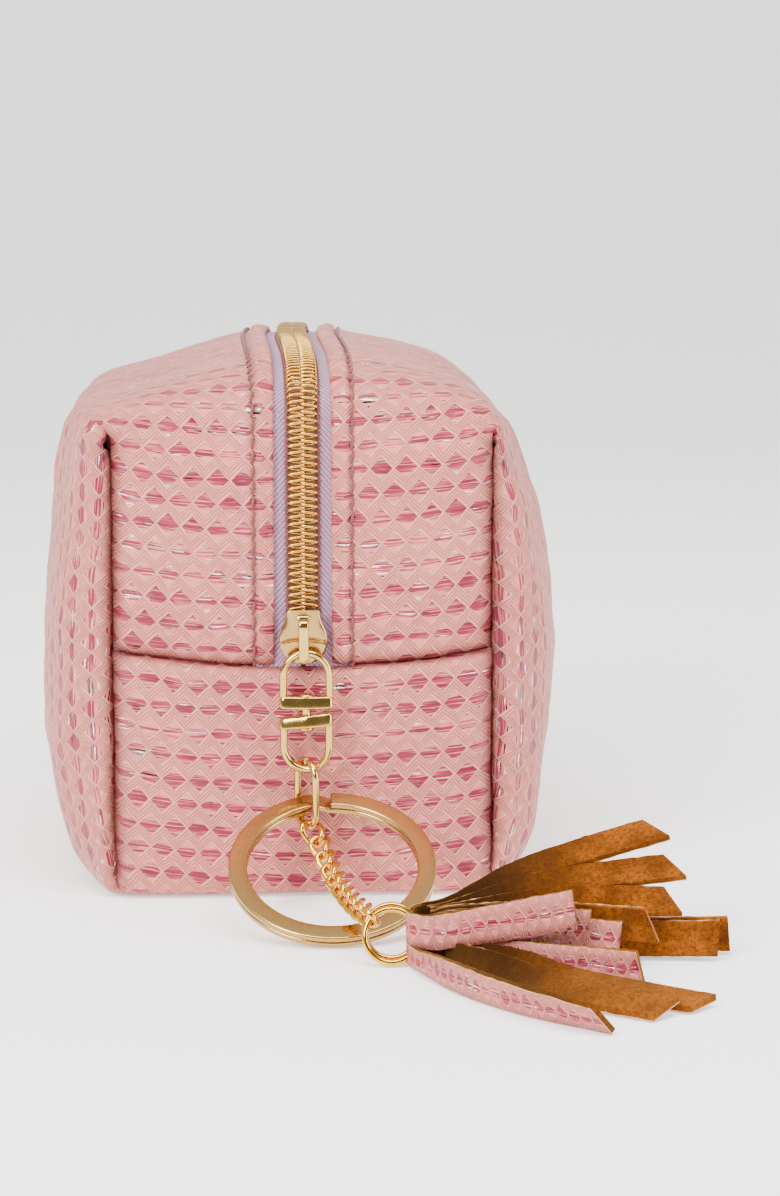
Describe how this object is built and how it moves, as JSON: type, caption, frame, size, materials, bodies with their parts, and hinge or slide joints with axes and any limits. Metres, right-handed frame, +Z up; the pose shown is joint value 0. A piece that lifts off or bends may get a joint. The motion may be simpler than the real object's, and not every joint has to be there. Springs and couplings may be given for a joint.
{
  "type": "pouch keychain",
  "caption": "Boxy padded zip pouch with a swivel clip on its zip slider, carrying a split key ring, a short curb chain and a leather fringe tassel.",
  "frame": {"origin": "centre of the pouch's flat base, on the floor", "axes": "+Z up, -Y towards the end with the slider, +X to the right of someone facing that end"},
  "size_m": [0.1107, 0.1781, 0.0927],
  "materials": {
    "outer_leather": "satin",
    "lining_cloth": "matte",
    "zip_tape": "matte",
    "gold_metal": "polished",
    "coil_metal": "satin",
    "thread": "matte",
    "suede": "matte"
  },
  "bodies": {
    "pouch": {"base_panel": "outer_leather", "side_panel_left": "outer_leather", "side_panel_right": "outer_leather", "top_panel_left": "outer_leather", "top_panel_right": "outer_leather", "front_flap_left": "outer_leather", "front_flap_right": "outer_leather", "front_flap_lower": "outer_leather", "back_flap_left": "outer_leather", "back_flap_right": "outer_leather", "back_flap_lower": "outer_leather", "lining_left": "lining_cloth", "lining_right": "lining_cloth", "lining_front": "lining_cloth", "lining_back": "lining_cloth", "lining_base": "lining_cloth", "zip_tape_left": "zip_tape", "zip_tape_right": "zip_tape", "zip_coil_left": "coil_metal", "zip_coil_right": "coil_metal", "topstitch_left": "thread", "topstitch_right": "thread"},
    "slider": {"slider_body": "gold_metal", "slider_bail": "gold_metal"},
    "swivel_top": {"swivel_upper_loop": "gold_metal", "swivel_rivet": "gold_metal"},
    "swivel_bottom": {"swivel_lower_loop": "gold_metal"},
    "jump_ring": {"jump_ring": "gold_metal"},
    "split_ring": {"split_ring": "gold_metal"},
    "link_1": {"chain_link_1": "gold_metal"},
    "link_2": {"chain_link_2": "gold_metal"},
    "link_3": {"chain_link_3": "gold_metal"},
    "link_4": {"chain_link_4": "gold_metal"},
    "link_5": {"chain_link_5": "gold_metal"},
    "link_6": {"chain_link_6": "gold_metal"},
    "link_7": {"chain_link_7": "gold_metal"},
    "link_8": {"chain_link_8": "gold_metal"},
    "link_9": {"chain_link_9": "gold_metal"},
    "link_10": {"chain_link_10": "gold_metal"},
    "tassel_ring": {"tassel_ring": "gold_metal"},
    "tassel": {"tassel_fold": "outer_leather", "tassel_strip_front_high": "suede", "tassel_strip_front_low": "suede", "tassel_strip_second_high": "suede", "tassel_strip_second_low": "suede", "tassel_strip_third_high": "suede", "tassel_strip_third_low": "suede", "tassel_strip_fourth_high": "suede", "tassel_strip_fourth_low": "suede", "tassel_strip_fifth_high": "suede", "tassel_strip_fifth_low": "suede", "tassel_strip_back_high": "suede", "tassel_strip_back_low": "suede", "tassel_strip_rear": "suede"}
  },
  "joints": [
    {"name": "slider_slide", "type": "slide", "parent": "pouch", "child": "slider", "axis": [0, 0, 1], "range_m": [0, 0.027]},
    {"name": "puller_lift", "type": "hinge", "parent": "slider", "child": "swivel_top", "pos_m": [0, -0.05402, 0.04217], "axis": [-1, 0, 0], "range_deg": [0, 110]},
    {"name": "swivel_turn", "type": "hinge", "parent": "swivel_top", "child": "swivel_bottom", "pos_m": [0.0004, -0.05402, 0.0308], "axis": [0, 0, 1], "range_deg": [-20, 6]},
    {"name": "jump_ring_swing", "type": "hinge", "parent": "swivel_bottom", "child": "jump_ring", "pos_m": [0.0004, -0.05402, 0.0228], "axis": [-0.9781, 0.2079, 0], "range_deg": [0, 40]},
    {"name": "split_ring_swing", "type": "hinge", "parent": "jump_ring", "child": "split_ring", "pos_m": [0.0004, -0.05393, 0.01668], "axis": [1, 0, 0], "range_deg": [0, 50]},
    {"name": "link_1_lift", "type": "hinge", "parent": "jump_ring", "child": "link_1", "pos_m": [0.00133, -0.05564, 0.01373], "axis": [-0.9186, -0.3951, 0], "range_deg": [0, 10]},
    {"name": "link_2_sway", "type": "hinge", "parent": "link_1", "child": "link_2", "pos_m": [0.0022, -0.05778, 0.01181], "axis": [0, 0, 1], "range_deg": [-8, 8]},
    {"name": "link_3_lift", "type": "hinge", "parent": "link_2", "child": "link_3", "pos_m": [0.0031, -0.06084, 0.0101], "axis": [-0.9728, -0.2317, 0], "range_deg": [0, 10]},
    {"name": "link_4_sway", "type": "hinge", "parent": "link_3", "child": "link_4", "pos_m": [0.0039, -0.06419, 0.00889], "axis": [0, 0, 1], "range_deg": [-8, 8]},
    {"name": "link_5_lift", "type": "hinge", "parent": "link_4", "child": "link_5", "pos_m": [0.00464, -0.06767, 0.00804], "axis": [-0.979, -0.204, 0], "range_deg": [0, 10]},
    {"name": "link_6_sway", "type": "hinge", "parent": "link_5", "child": "link_6", "pos_m": [0.00538, -0.07122, 0.00746], "axis": [0, 0, 1], "range_deg": [-8, 8]},
    {"name": "link_7_lift", "type": "hinge", "parent": "link_6", "child": "link_7", "pos_m": [0.00613, -0.07474, 0.0071], "axis": [-0.9756, -0.2196, 0], "range_deg": [0, 10]},
    {"name": "link_8_sway", "type": "hinge", "parent": "link_7", "child": "link_8", "pos_m": [0.00694, -0.07834, 0.00691], "axis": [0, 0, 1], "range_deg": [-8, 8]},
    {"name": "link_9_lift", "type": "hinge", "parent": "link_8", "child": "link_9", "pos_m": [0.0078, -0.08185, 0.00686], "axis": [-0.9639, -0.2664, 0], "range_deg": [0, 10]},
    {"name": "link_10_sway", "type": "hinge", "parent": "link_9", "child": "link_10", "pos_m": [0.00879, -0.08541, 0.00695], "axis": [0, 0, 1], "range_deg": [-8, 8]},
    {"name": "tassel_ring_swing", "type": "hinge", "parent": "link_10", "child": "tassel_ring", "pos_m": [0.00966, -0.0883, 0.00713], "axis": [-0.6428, -0.262, -0.7198], "range_deg": [0, 15]},
    {"name": "tassel_sway", "type": "hinge", "parent": "tassel_ring", "child": "tassel", "pos_m": [0.017, -0.0892, 0.00465], "axis": [0, 0, 1], "range_deg": [-10, 10]}
  ]
}
